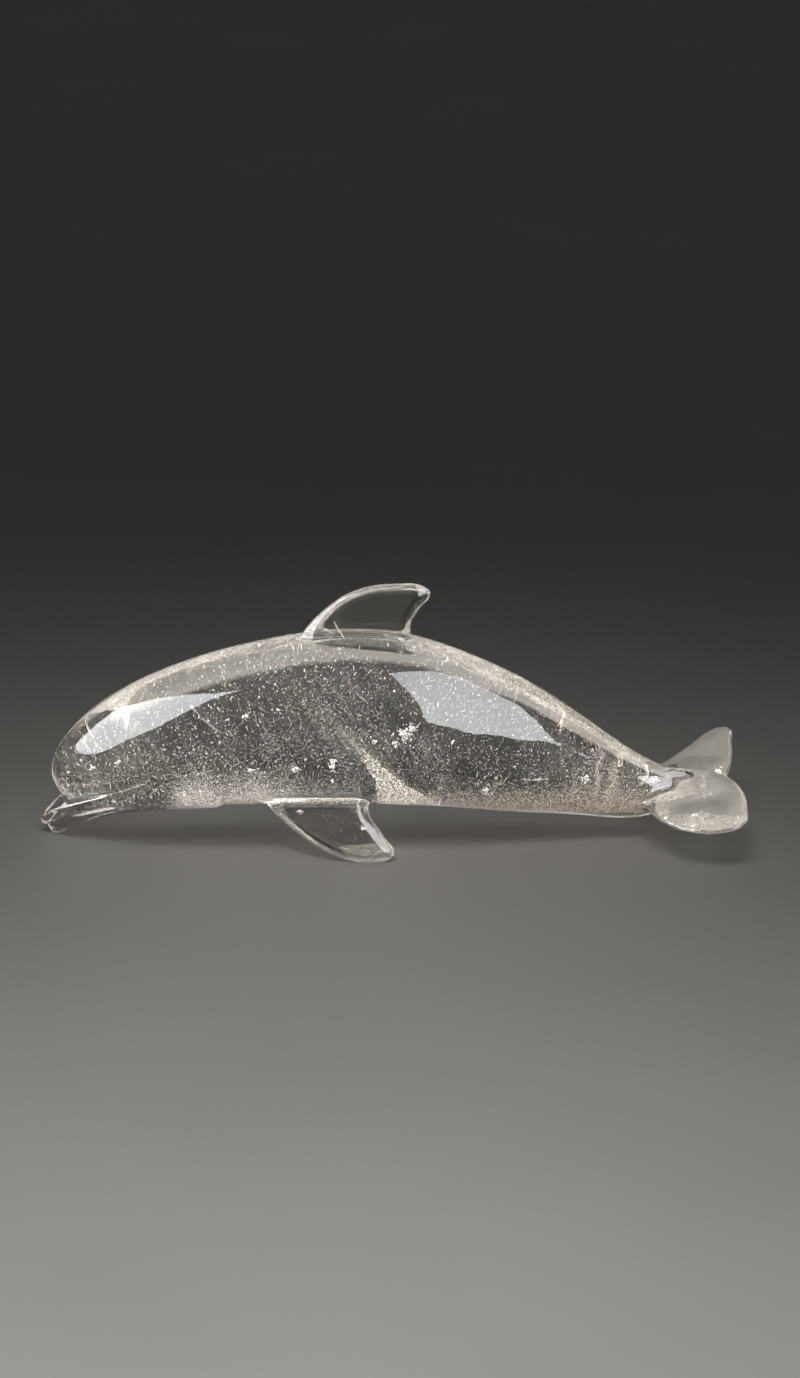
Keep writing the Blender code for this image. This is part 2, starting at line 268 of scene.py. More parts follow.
def fluke_field(x, y, z):
    rx, ry, rz = x - FLUKE_ROOT[0], y - FLUKE_ROOT[1], z - FLUKE_ROOT[2]
    s = rx * FLUKE_EX[0] + ry * FLUKE_EX[1] + rz * FLUKE_EX[2]
    t = rx * FLUKE_EY[0] + ry * FLUKE_EY[1] + rz * FLUKE_EY[2]
    n = rx * FLUKE_EZ[0] + ry * FLUKE_EZ[1] + rz * FLUKE_EZ[2]
    side = np.abs(t)
    half = 2.25 + 0.75 * np.exp(-(side / 9.0) ** 2) - 0.45 * step(12.0, 27.0, side)
    keel = 2.6 * np.exp(-(t / 2.1) ** 2) * step(19.0, 6.0, s)        # the tail's ridge runs out towards the notch
    scoop = 1.2 * np.exp(-((side - 11.0) / 5.0) ** 2) * step(1.0, 8.0, s) * step(26.0, 17.0, s)
    n = n + 0.5 * (scoop - keel)              # the upper face is dished a little on each side of the middle
    half = half - 0.5 * (scoop - keel)
    return plate_field(fluke_outline(s, t), n, half, FLUKE_BAND, 0.22, 1.6, 1.4)


rng = np.random.default_rng(SEED)
RIPPLES = []
for _ in range(20):
    direction = rng.normal(size=3)
    direction /= np.linalg.norm(direction)
    length = rng.uniform(7.0, 26.0)
    RIPPLES.append((direction * 2.0 * math.pi / length, rng.uniform(0.0, 2.0 * math.pi), 0.0007 * length))


def hand_polish(x, y, z):
    """The slow waviness that a wheel held by hand leaves: a few hundredths of a millimetre."""
    out = 0.0
    for k, phase, size in RIPPLES:
        out = out + size * np.sin(k[0] * x + k[1] * y + k[2] * z + phase)
    return out


EYE = (-71.9, 16.4, 27.3)


def solid_field(x, y, z, fins=True):
    """Signed distance to the whole carving, about exact near its surface, negative inside."""
    d = as_distance(body_field, x, y, z)
    d = smooth_max(d, x - STOCK_END_X, 0.5)
    beak = smooth_max(as_distance(jaw_field, x, y, z), as_distance(beak_top_field, x, y, z), 0.35)
    beak = np.maximum(beak, x - BEAK_END_X)
    crease = CREASE_FILLET * (0.55 + 0.45 * step(-92.0, -78.0, x)) + 2.2 * step(-74.0, -64.0, x)
    d = smooth_min(d, beak, crease)
    if fins:
        d = smooth_min(d, dorsal_field(x, y, z), DORSAL_FILLET)
        d = smooth_min(d, pectoral_field(x, y, z, -1.0), PECTORAL_FILLET)
        d = smooth_min(d, pectoral_field(x, y, z, 1.0), PECTORAL_FILLET)
        d = smooth_min(d, fluke_field(x, y, z), FLUKE_FILLET)
    # engraved lines: the mouth and a ring for each eye
    line = np.exp(-((z - mouth(x)) / 0.42) ** 2) * step(-76.5, -82.0, x) * (0.42 + 0.5 * step(-95.5, -99.5, x))
    d = d + line
    r = np.sqrt((x - EYE[0]) ** 2 + (z - EYE[2]) ** 2)
    d = d + 0.16 * np.exp(-((r - 0.95) / 0.28) ** 2) * (np.abs(y) > 10.0)
    d = d + hand_polish(x, y, z)
    return np.maximum(d, -z)


def grid_field(pitch):
    """The field on a grid. The fins are worked out only in the blocks that hold them."""
    lo = np.array((-102.4, -29.6, -1.3))
    hi = np.array((102.0, 29.8, 78.4))
    n = np.ceil((hi - lo) / pitch).astype(int) + 1
    xs, ys, zs = (lo[i] + pitch * np.arange(n[i]) for i in range(3))
    X, Y, Z = xs[:, None, None], ys[None, :, None], zs[None, None, :]
    d = as_distance(body_field, X, Y, Z)
    d = smooth_max(d, X - STOCK_END_X + 0.0 * d, 0.5)

    def block(x0, x1, y0, y1, z0, z1):
        return (slice(*np.searchsorted(xs, (x0, x1))), slice(*np.searchsorted(ys, (y0, y1))), slice(*np.searchsorted(zs, (z0, z1))))

    def merge(where, field, k):
        x, y, z = X[where[0]], Y[:, where[1]], Z[:, :, where[2]]
        x, y, z = np.broadcast_arrays(x, y, z)
        kk = k(x) if callable(k) else k
        d[where] = smooth_min(d[where], field(x, y, z), kk)

    def beak_field(x, y, z):
        both = smooth_max(as_distance(jaw_field, x, y, z), as_distance(beak_top_field, x, y, z), 0.35)
        return np.maximum(both, x - BEAK_END_X)
    merge(block(-102.4, -45.0, -22.0, 22.0, -1.3, 32.0), beak_field,
          lambda x: CREASE_FILLET * (0.55 + 0.45 * step(-92.0, -78.0, x)) + 2.2 * step(-74.0, -64.0, x))
    merge(block(-36.0, 16.0, -6.0, 6.0, 46.0, 78.4), dorsal_field, DORSAL_FILLET)
    for side in (-1.0, 1.0):
        y0, y1 = (-26.0, -4.0) if side < 0 else (4.0, 26.0)
        merge(block(-45.0, 6.0, y0, y1, -1.3, 26.0), lambda x, y, z: pectoral_field(x, y, z, side), PECTORAL_FILLET)
    merge(block(62.0, 102.0, -29.6, 29.8, 2.0, 30.0), fluke_field, FLUKE_FILLET)
    line = np.exp(-((Z - mouth(X)) / 0.42) ** 2) * step(-76.5, -82.0, X) * (0.42 + 0.5 * step(-95.5, -99.5, X))
    d += line
    return np.maximum(d, -Z), lo


def surface_net(field, lo, pitch):
    """One vertex in each grid cell that the surface passes, one quad for each grid edge that it crosses."""
    inside = field < 0.0
    count = sum(inside[a:a - 1 or None, b:b - 1 or None, c:c - 1 or None].astype(np.int8)
                for a in (0, 1) for b in (0, 1) for c in (0, 1))
    mixed = (count > 0) & (count < 8)
    index = np.full(mixed.shape, -1, np.int64)
    cells = np.argwhere(mixed)
    index[mixed] = np.arange(len(cells))
    total, hits = np.zeros((len(cells), 3)), np.zeros(len(cells))
    corners = [np.array(c) for c in np.ndindex(2, 2, 2)]
    for a in corners:
        for b in corners:
            if (b - a).sum() != 1 or (b - a).min() < 0:
                continue
            fa = field[tuple((cells + a).T)]
            fb = field[tuple((cells + b).T)]
            cross = (fa < 0.0) != (fb < 0.0)
            t = np.where(cross, fa / np.where(cross, fa - fb, 1.0), 0.0)
            total += np.where(cross[:, None], a + t[:, None] * (b - a), 0.0)
            hits += cross
    verts = lo + pitch * (cells + total / hits[:, None])
    quads = []
    for axis in range(3):
        one, two = (axis + 1) % 3, (axis + 2) % 3
        near = [slice(None)] * 3
        far = [slice(None)] * 3
        near[axis], far[axis] = slice(None, -1), slice(1, None)
        change = inside[tuple(near)] != inside[tuple(far)]
        at = np.argwhere(change)
        keep = (at[:, one] > 0) & (at[:, two] > 0) & (at[:, one] < mixed.shape[one]) & (at[:, two] < mixed.shape[two])
        at = at[keep]
        ring = []
        for da, db in ((-1, -1), (0, -1), (0, 0), (-1, 0)):
            c = at.copy()
            c[:, one] += da
            c[:, two] += db
            ring.append(index[tuple(c.T)])
        quad = np.stack(ring, 1)
        outward = inside[tuple(at.T)]
        quad[~outward] = quad[~outward][:, ::-1]
        quads.append(quad)
    return verts, np.concatenate(quads)


def gradient(field, p, e=0.03):
    x, y, z = p.T
    return np.stack([field(x + e, y, z) - field(x - e, y, z),
                     field(x, y + e, z) - field(x, y - e, z),
                     field(x, y, z + e) - field(x, y, z - e)], 1) / (2.0 * e)


def settle(p, rounds):
    """Moves points onto the surface, along its normals."""
    for _ in range(rounds):
        g = gradient(solid_field, p)
        d = solid_field(*p.T)
        move = d / np.maximum((g * g).sum(1), 0.25)
        p = p - np.clip(move, -0.4, 0.4)[:, None] * g
    return p


def even_out(mesh_verts, edges, rounds=2):
    """Evens the spacing of the points over the surface and puts them back on it."""
    p = mesh_verts
    a, b = edges.T
    degree = np.bincount(np.concatenate([a, b]), minlength=len(p))[:, None]
    for _ in range(rounds):
        total = np.zeros_like(p)
        np.add.at(total, a, p[b])
        np.add.at(total, b, p[a])
        p = settle(0.5 * p + 0.5 * total / degree, 1)
    return p


def mesh_arrays(mesh):
    co = np.empty(len(mesh.vertices) * 3)
    mesh.vertices.foreach_get("co", co)
    edges = np.empty(len(mesh.edges) * 2, np.int64)
    mesh.edges.foreach_get("vertices", edges)
    return co.reshape(-1, 3), edges.reshape(-1, 2)


def make_crystal():
    pitch = 0.731
    field, lo = grid_field(pitch)
    verts, quads = surface_net(field, lo, pitch)
    verts = settle(verts, 2)
    mesh = bpy.data.meshes.new("polished_crystal")
    mesh.from_pydata(verts.tolist(), [], quads.tolist())
    mesh.validate()
    # the head carries finer carving, so its faces are split once more
    bm = bmesh.new()
    bm.from_mesh(mesh)
    fine = [e for e in bm.edges if max(v.co.x for v in e.verts) < -66.0]
    bmesh.ops.subdivide_edges(bm, edges=fine, cuts=1, use_grid_fill=True)
    bmesh.ops.triangulate(bm, faces=[f for f in bm.faces if len(f.verts) > 4])
    bm.to_mesh(mesh)
    bm.free()
    co, edges = mesh_arrays(mesh)
    co = even_out(settle(co, 1), edges, 2)
    co = settle(co, 2)
    co[:, 2] = np.maximum(co[:, 2], 0.0)
    co = (co + SHIFT) * MM
    mesh.vertices.foreach_set("co", co.ravel())
    mesh.update()
    mesh.shade_smooth()
    obj = bpy.data.objects.new("polished_crystal", mesh)
    bpy.context.scene.collection.objects.link(obj)
    return obj


# =============================================================================== what is sealed in the stone
# Veils, needles, flecks and sparks are small closed grains of their own. Some are strewn through the stone and
# some are set out where the picture shows them: on the camera's ray, bent as the polished surface bends it. A few
# of them paint light and shade: highlights on the beak, a glow along the belly, a bright wedge and shade in the flukes.
# The photograph's viewing angle.
ELEVATION = math.radians(24.0)
DISTANCE = 0.950
TARGET = Vector((0.0003, 0.00064, 0.032))
forward = Vector((0.0, math.cos(ELEVATION), -math.sin(ELEVATION)))
right = Vector((1.0, 0.0, 0.0))
up = right.cross(forward)
PX = 3.55 * DISTANCE * 1000.0
aim = (forward + right * (7.6 / PX) + up * (39.2 / PX)).normalized()


IOR = 1.544


def camera_rays(px, py):
    """Starting point and directions, in the drafting frame, of the rays through points of the 800 x 1378 frame."""
    px, py = np.atleast_1d(np.asarray(px, float)), np.atleast_1d(np.asarray(py, float))
    start = (np.array(TARGET) - np.array(forward) * DISTANCE) / MM - SHIFT
    d = np.array(forward) + np.outer((px - 392.4) / PX, np.array(right)) + np.outer((728.2 - py) / PX, np.array(up))
    return start, d / np.linalg.norm(d, axis=1)[:, None]


def under_surface(px, py, depth):
    """Points in the stone that the picture shows at (px, py), depth millimetres behind the near surface."""
    start, d = camera_rays(px, py)
    t = np.full(len(d), DISTANCE / MM - 105.0)
    for _ in range(15):
        t = t + np.clip(solid_field(*(start + t[:, None] * d).T), -3.0, 30.0)
        t = np.minimum(t, DISTANCE / MM + 140.0)
    p = start + t[:, None] * d
    n = gradient(solid_field, p)
    n /= np.linalg.norm(n, axis=1)[:, None] + 1e-9
    c = -(d * n).sum(1)
    eta = 1.0 / IOR
    bent = eta * d + (eta * c - np.sqrt(np.maximum(1.0 - eta * eta * (1.0 - c * c), 0.0)))[:, None] * n
    return p + np.atleast_1d(depth)[:, None] * bent


class Grains:
    """Gathers small closed grains (tetrahedra, stretched and flattened) into one mesh."""

    CORNERS = np.array(((1, 1, 1), (1, -1, -1), (-1, 1, -1), (-1, -1, 1)), float) / math.sqrt(3.0)
    FACES = np.array(((0, 1, 2), (0, 3, 1), (0, 2, 3), (1, 3, 2)))

    def __init__(self):
        self.points, self.kinds = [], []

    def add(self, centres, sizes, kind, along=None, stretch=1.0, flat=1.0, rng=None):
        """centres (n, 3) in the drafting frame; sizes in mm; along (n, 3) or (3,) for stretched grains."""
        keep = solid_field(*centres.T) < -(0.35 + 0.6 * sizes)
        centres, sizes = centres[keep], sizes[keep]
        n = len(centres)
        if not n:
            return
        a = rng.normal(size=(n, 3))
        if along is not None:
            along = np.broadcast_to(np.asarray(along, float), (len(keep), 3))[keep]
            a = along / np.linalg.norm(along, axis=1)[:, None]
        a /= np.linalg.norm(a, axis=1)[:, None]
        b = np.cross(a, rng.normal(size=(n, 3)))
        b /= np.linalg.norm(b, axis=1)[:, None]
        c = np.cross(a, b)
        stretch = np.broadcast_to(np.asarray(stretch, float), (len(keep),))[keep] if np.ndim(stretch) else stretch
        frame3 = np.stack([a * np.reshape(stretch, (-1, 1)), b, c * flat], 1) * (0.5 * sizes)[:, None, None]
        corner = self.CORNERS[None] * rng.uniform(0.65, 1.35, size=(n, 4, 1))
        self.points.append((centres[:, None] + np.einsum("nck,nkx->ncx", corner, frame3)).reshape(-1, 3))
        self.kinds.append(np.full(n, kind, np.int32))

    def build(self, name, materials, most=46000):
        """One object, or several side by side along the stone where there are many grains."""
        points = (np.concatenate(self.points).reshape(-1, 4, 3) + SHIFT) * MM
        kinds = np.concatenate(self.kinds)
        order = np.argsort(points[:, 0, 0], kind="stable")
        parts = np.array_split(order, -(-len(order) // most))
        return [self.object(name if len(parts) == 1 else "%s_%d" % (name, i + 1), points[part], kinds[part], materials)
                for i, part in enumerate(parts)]

    def object(self, name, points, kinds, materials):
        n = len(kinds)
        faces = (self.FACES[None] + 4 * np.arange(n)[:, None, None]).reshape(-1, 3)
        mesh = bpy.data.meshes.new(name)
        mesh.vertices.add(4 * n)
        mesh.vertices.foreach_set("co", points.ravel())
        mesh.loops.add(12 * n)
        mesh.loops.foreach_set("vertex_index", faces.ravel().astype(np.int32))
        mesh.polygons.add(4 * n)
        mesh.polygons.foreach_set("loop_start", np.arange(0, 12 * n, 3, dtype=np.int32))
        mesh.polygons.foreach_set("material_index", np.repeat(kinds, 4))
        for material in materials:
            mesh.materials.append(material)
        mesh.update(calc_edges=True)
        obj = bpy.data.objects.new(name, mesh)
        bpy.context.scene.collection.objects.link(obj)
        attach(obj, "root")
        return obj


class Noise:
    """Smooth seeded noise in space, about -1 to 1, as a sum of a few waves in many directions."""

    def __init__(self, rng, length, waves=18, spread=0.5, along=None):
        k = rng.normal(size=(waves, 3))
        if along is not None:                     # drawn out into streaks that run this way
            run = np.array(along, float) / np.linalg.norm(along)
            k -= 0.93 * np.outer(k @ run, run)
        k /= np.linalg.norm(k, axis=1)[:, None]
        self.k = k * (2.0 * math.pi / (length * rng.uniform(1.0 - spread, 1.0 + spread, waves)))[:, None]
        self.phase = rng.uniform(0.0, 2.0 * math.pi, waves)

    def __call__(self, p):
        return np.sin(p @ self.k.T + self.phase).sum(1) / math.sqrt(0.5 * len(self.phase)) / 2.0


CLEAR_GREY, WHITE, WARM_WHITE, AMBER, MIRROR, UMBER = range(6)


def strewn(rng, count, where):
    """count points spread evenly through the stone inside a box (low and high corner)."""
    lo, hi = np.array(where[0], float), np.array(where[1], float)
    got, out = 0, []
    while got < count:
        p = rng.uniform(lo, hi, size=(count, 3))
        p = p[solid_field(*p.T) < -0.5]
        out.append(p)
        got += max(len(p), 1)
    return np.concatenate(out)[:count]


def along_curve(rng, count, points, spread):
    """Picture points scattered along a drawn line."""
    pts = np.array(points, float)
    seg = np.linalg.norm(np.diff(pts, axis=0), axis=1)
    t = rng.uniform(0.0, seg.sum(), count)
    edge = np.concatenate([[0.0], np.cumsum(seg)])
    i = np.clip(np.searchsorted(edge, t) - 1, 0, len(seg) - 1)
    w = ((t - edge[i]) / seg[i])[:, None]
    return pts[i] * (1 - w) + pts[i + 1] * w + rng.normal(size=(count, 2)) * np.asarray(spread, float)


def make_inclusions():
    rng = np.random.default_rng(SEED + 1)
    share = 1.0
    cloud, middle, fine = Noise(rng, 34.0), Noise(rng, 12.0), Noise(rng, 4.5)
    body_box = ((-97.0, -22.0, 3.0), (90.0, 22.0, 62.0))

    # --- haze: fine grains everywhere, thicker in clouds and streaks that lean to the right, and to the left
    # towards the tail
    haze = Grains()
    lean_right, lean_left = Noise(rng, 2.6, 30, along=(0.55, 0.1, -0.84)), Noise(rng, 2.8, 30, along=(-0.42, 0.1, -0.9))
    wide_right = Noise(rng, 9.0, 24, along=(0.55, 0.1, -0.84))
    p = strewn(rng, int(150000 * share), body_box)
    turn = step(5.0, 30.0, p[:, 0])
    streak = (1.0 - turn) * lean_right(p) + turn * lean_left(p)
    weight = np.exp(0.6 * cloud(p) + 0.8 * middle(p) + 0.5 * fine(p) + 1.6 * streak + 0.8 * (1.0 - turn) * wide_right(p))
    weight *= 0.50 + 0.9 * step(-45.0, -85.0, p[:, 0]) + 0.7 * step(20.0, 65.0, p[:, 0]) + 0.75 * step(30.0, 10.0, p[:, 2])
    weight *= (0.3 + 0.7 * step(1.0, 8.0, -solid_field(*p.T))) * (0.62 + 0.38 * step(22.0, 12.0, p[:, 2]))
    p = p[rng.uniform(0.0, 3.0, len(p)) < weight]
    size = rng.uniform(0.12, 0.22, len(p)) * np.exp(rng.normal(0.0, 0.35, len(p)))
    kind = rng.choice([CLEAR_GREY, WARM_WHITE], len(p), p=[0.7, 0.3])
    for k in (CLEAR_GREY, WARM_WHITE):
        haze.add(p[kind == k], size[kind == k], k, rng=rng)

    # --- pale grains over the belly, partly milky stone and partly a painted glow for the light that the body focuses
    # along its underside; and a wedge of them beside the cracks that paints a bright patch of bent light
    belly_milk_and_painted_glow, wedge = Grains(), Grains()

    def milk(into, count, corners, density, depth, sizes, kinds):
        """Fine pale grains behind a region of the picture, as thick as density (0 to 1) says."""
        corners = np.array(corners, float)
        at = rng.uniform(corners.min(0), corners.max(0), size=(int(count * share), 2))
        inside = np.zeros(len(at), bool)
        for c, d in zip(corners, np.roll(corners, -1, axis=0)):
            if c[1] != d[1]:
                inside ^= ((c[1] > at[:, 1]) != (d[1] > at[:, 1])) & (at[:, 0] < c[0] + (at[:, 1] - c[1]) / (d[1] - c[1]) * (d[0] - c[0]))
        at = at[inside & (rng.uniform(size=len(at)) < density(at[:, 0], at[:, 1]))]
        q = under_surface(at[:, 0], at[:, 1], rng.uniform(*depth, len(at)))
        which = rng.choice(len(kinds), len(q))
        for i, k in enumerate(kinds):
            m = which == i
            into.add(q[m], rng.uniform(*sizes, m.sum()), k, rng=rng)

    def edge_wobble(x):
        return 3.0 * np.sin(x / 11.0) + 2.0 * np.sin(x / 4.3 + 1.0)

    # partly painted glow: white and warm grains, thickest along the belly line, paint the band of focused light there
    # over partly milky stone
    milk(belly_milk_and_painted_glow, 60000, [(150, 745), (362, 745), (362, 803), (262, 803), (250, 808), (150, 812)],
         lambda x, y: np.exp(-np.maximum(798.0 + edge_wobble(x) - y, 0.0) / 13.0) * step(160.0, 195.0, x) * (0.35 + 0.65 * step(310.0, 280.0, x)),
         (0.8, 8.0), (0.12, 0.24), (WARM_WHITE, WHITE, WHITE))
    # painted light: the wedge grains, lit by a strong lamp of their own, paint a bright patch of light bent through the
    # stone
    milk(wedge, 15000, [(352, 742), (362, 748), (384, 768), (404, 784), (444, 806), (377, 808), (376, 783)],
         lambda x, y: 0.25 + 0.75 * step(745.0, 795.0, y), (1.0, 6.0), (0.13, 0.28), (WARM_WHITE, WHITE, WHITE))
    milk(haze, 5000, [(60, 758), (165, 752), (175, 800), (100, 806), (66, 790)],
         lambda x, y: 0.5 + 0.3 * np.sin(x / 9.0) * np.sin(y / 5.0), (1.0, 9.0), (0.10, 0.2), (WARM_WHITE, CLEAR_GREY))
    milk(haze, 5200, [(560, 745), (650, 760), (645, 812), (560, 810)],
         lambda x, y: 0.45 + 0.4 * np.sin(x / 6.5 + 1.0) * np.cos(y / 9.0), (1.0, 9.0), (0.10, 0.22), (WARM_WHITE, CLEAR_GREY))

    milk(haze, 3000, [(338, 846), (372, 843), (394, 850), (392, 858), (352, 862)], lambda x, y: 0.7 + 0.0 * x, (0.6, 2.6), (0.12, 0.22),
         (CLEAR_GREY, WARM_WHITE))

    # --- the tail's flukes are hazier still
    p = strewn(rng, int(6500 * share), ((72.0, -27.0, 5.0), (99.0, 27.0, 28.0)))
    kind = rng.choice([CLEAR_GREY, WARM_WHITE, UMBER], len(p), p=[0.58, 0.17, 0.25])
    for k in (CLEAR_GREY, WARM_WHITE, UMBER):
        haze.add(p[kind == k], rng.uniform(0.10, 0.2, (kind == k).sum()), k, rng=rng)

    # --- sparks: bright points
    sparks = Grains()
    p = strewn(rng, int(7000 * share), body_box)
    keep = rng.uniform(0.0, 2.2, len(p)) < np.exp(0.8 * cloud(p) + 0.8 * middle(p)) * (
        0.5 + 0.9 * step(-30.0, -85.0, p[:, 0]) + 0.7 * step(10.0, 60.0, p[:, 0]))
    p = p[keep]
    size = 0.12 + 0.34 * rng.uniform(size=len(p)) ** 4
    kind = rng.choice([WHITE, WARM_WHITE, AMBER, MIRROR], len(p), p=[0.42, 0.2, 0.08, 0.3])
    for k in (WHITE, WARM_WHITE, AMBER, MIRROR):
        m = kind == k
        sparks.add(p[m], size[m] * (1.4 if k == MIRROR else 1.0), k, stretch=rng.uniform(1.0, 2.6, m.sum()), flat=0.35, rng=rng)

    # --- veils: bundles of fine needles that run down to the right, as the picture shows them
    veils_cracks_and_painted_highlights = Grains()
    bundles = [  # picture box, needles, depth range, slope in degrees, size
        ((262, 668), (392, 770), 4600, (4.0, 26.0), 57.0, 0.12),
        ((300, 690), (380, 760), 2200, (5.0, 16.0), 55.0, 0.12),
        ((345, 735), (450, 804), 4200, (3.0, 18.0), 50.0, 0.13),
        ((180, 700), (300, 800), 1800, (4.0, 30.0), 60.0, 0.09),
        ((66, 745), (180, 805), 1900, (2.0, 18.0), 62.0, 0.09),
        ((430, 700), (560, 805), 1600, (5.0, 30.0), 118.0, 0.09),
        ((560, 740), (650, 812), 1500, (2.0, 16.0), 112.0, 0.10),
        ((120, 690), (260, 760), 1100, (5.0, 28.0), 58.0, 0.09),
    ]
    for (x0, y0), (x1, y1), count, (d0, d1), slope, size in bundles:
        count = int(0.8 * count * share)
        # needles gather in strands
        strands = rng.uniform((x0, y0), (x1, y1), size=(max(count // 22, 4), 2))
        pick = rng.integers(0, len(strands), count)
        a = math.radians(slope)
        run = np.array((math.cos(a), math.sin(a)))
        cross_run = np.array((-run[1], run[0]))
        at = strands[pick] + rng.normal(size=(count, 1)) * 13.0 * run + rng.normal(size=(count, 1)) * 2.2 * cross_run
        ok = (at[:, 0] > x0 - 8) & (at[:, 0] < x1 + 8) & (at[:, 1] > y0 - 8) & (at[:, 1] < y1 + 4)
        at, pick = at[ok], pick[ok]
        depth = rng.uniform(d0, d1, len(strands))[pick] + rng.normal(size=len(at)) * 0.8
        tip = at + run * 3.0
        p, q = under_surface(at[:, 0], at[:, 1], depth), under_surface(tip[:, 0], tip[:, 1], depth)
        veils_cracks_and_painted_highlights.add(p, rng.uniform(0.45, 0.95, len(p)) * size, CLEAR_GREY, along=q - p + rng.normal(size=p.shape) * 0.08,
                  stretch=rng.uniform(2.0, 8.0, len(p)), rng=rng)

    # --- drawn lines: the healed cracks that cross the stone. The first two are not cracks: pale grains there paint
    # the beak ridge's highlight and a reflection above the mouth crease
    lines = [  # picture points, grains, spread, depth, size, kind
        # painted highlight: white grains just under the beak's ridge draw the line of light that the ridge catches
        ([(50, 811), (80, 803), (110, 794), (130, 789), (147, 783)], 700, 0.45, 0.8, 0.15, WHITE),
        # painted reflection: warm grains above the mouth crease draw a beige reflection streak
        ([(70, 785), (95, 784), (118, 781)], 300, (5.0, 1.2), 1.6, 0.16, WARM_WHITE),
        ([(125, 720), (148, 738), (163, 754), (175, 786), (185, 802)], 700, 2.6, 7.0, 0.14, CLEAR_GREY),
        ([(190, 706), (206, 722), (219, 732)], 260, 0.8, 5.0, 0.14, WHITE),
        ([(330, 655), (338, 690), (354, 745), (376, 781), (378, 802)], 800, 3.0, 6.0, 0.14, CLEAR_GREY),
        ([(340, 730), (380, 765), (410, 790), (440, 803)], 1200, 3.5, 8.0, 0.16, WARM_WHITE),
        ([(556, 703), (565, 713), (562, 722), (560, 733)], 500, 0.7, 2.2, 0.20, WARM_WHITE),
        ([(598, 745), (602, 757), (597, 768), (599, 780), (595, 796)], 430, 1.8, 3.4, 0.22, WARM_WHITE),
        ([(622, 752), (619, 764), (612, 772), (615, 782), (607, 792), (609, 806)], 640, 2.3, 2.8, 0.23, WARM_WHITE),
        ([(352, 806), (361, 816), (370, 828), (374, 838)], 420, 2.4, 1.6, 0.15, CLEAR_GREY),
        ([(645, 763), (648, 774), (640, 786)], 240, 0.9, 3.0, 0.18, WHITE),
        ([(522, 779), (534, 780), (548, 779)], 160, 0.5, 4.0, 0.16, WHITE),
        ([(334, 622), (340, 632), (345, 640)], 200, 0.5, 1.6, 0.15, WHITE),
        ([(324, 628), (333, 634)], 60, 0.5, 1.8, 0.14, WHITE),
        ([(168, 672), (171, 682)], 70, 0.5, 3.0, 0.16, WARM_WHITE),
        ([(145, 684), (147, 693)], 60, 0.5, 3.0, 0.16, WARM_WHITE),
        ([(224, 676), (226, 691)], 80, 0.6, 3.0, 0.16, WARM_WHITE),
        ([(186, 673), (194, 666)], 90, 0.9, 3.0, 0.17, WARM_WHITE),
    ]
    for points, count, spread, depth, size, kind in lines:
        at = along_curve(rng, max(int(count * share), 20), points, spread)
        p = under_surface(at[:, 0], at[:, 1], depth + rng.normal(size=len(at)) * 0.4)
        veils_cracks_and_painted_highlights.add(p, rng.uniform(0.6, 1.4, len(p)) * size, kind, rng=rng)

    # --- the stone before the tail is broken by rough cracks; in the flukes, dark grains paint shade: the dark valley
    # down their middle and a dark band on the far fluke
    milk(sparks, 3000, [(572, 742), (650, 765), (645, 812), (572, 810)],
         lambda x, y: np.clip(0.35 + 0.45 * np.sin(x / 5.5 + 0.4) * np.cos(y / 11.0 + x / 30.0), 0.0, 1.0), (1.0, 8.0), (0.2, 0.42),
         (CLEAR_GREY, WARM_WHITE, UMBER, CLEAR_GREY))
    # painted shade: dark umber grains fill the shaded valley down the middle of the flukes
    milk(sparks, 16000, [(646, 794), (708, 764), (722, 772), (700, 792), (652, 806)], lambda x, y: 0.75 + 0.0 * x, (0.5, 3.5), (0.2, 0.4),
         (UMBER, UMBER, CLEAR_GREY))
    # painted shade: dark umber grains paint the shaded band on the far fluke
    milk(sparks, 6000, [(655, 768), (700, 735), (722, 728), (700, 765), (660, 776)], lambda x, y: 0.5 + 0.0 * x, (0.5, 3.0), (0.2, 0.36),
         (UMBER, UMBER, CLEAR_GREY))

    # --- snowy flecks: little heaps of flat shards
    flecks = [  # picture place, reach in px, shards, depth
        ((333, 764), (2.4, 5.5), 70, 4.0), ((332, 781), (1.6, 1.6), 16, 4.0), ((405, 735), (6.0, 5.0), 90, 5.0),
        ((413, 729), (4.0, 3.0), 40, 5.0), ((396, 743), (3.0, 2.5), 30, 5.0), ((374, 742), (2.0, 1.2), 10, 5.0),
        ((228, 720), (1.6, 1.2), 8, 4.0), ((246, 716), (3.2, 1.4), 14, 4.0), ((278, 710), (1.0, 1.0), 5, 4.0),
        ((275, 685), (1.0, 1.4), 5, 4.0), ((296, 769), (4.0, 2.0), 26, 6.0), ((252, 770), (3.0, 1.6), 18, 6.0),
        ((586, 779), (3.0, 3.0), 26, 4.0), ((485, 791), (3.0, 3.0), 22, 3.0), ((620, 765), (3.0, 2.0), 18, 3.0),
        ((68, 772), (2.5, 1.6), 12, 2.5), ((118, 762), (3.0, 2.0), 16, 5.0), ((92, 768), (4.0, 2.0), 16, 4.0),
        ((655, 780), (5.0, 3.5), 40, 2.5), ((680, 796), (4.0, 2.0), 24, 2.2), ((452, 742), (3.0, 2.0), 14, 6.0),
        ((716, 763), (3.0, 1.2), 14, 2.0), ((694, 815), (3.0, 1.2), 16, 2.0), ((668, 817), (4.0, 1.6), 22, 2.0),
        ((363, 828), (3.0, 2.0), 16, 1.6), ((300, 812), (3.0, 2.0), 12, 1.6),
    ]
    shards = Grains()
    for (px, py), reach, count, depth in flecks:
        at = np.array((px, py)) + rng.normal(size=(count, 2)) * 0.55 * np.array(reach)
        p = under_surface(at[:, 0], at[:, 1], depth + rng.normal(size=count) * 0.5)
        kind = rng.choice([WHITE, WARM_WHITE, MIRROR], count, p=[0.6, 0.25, 0.15])
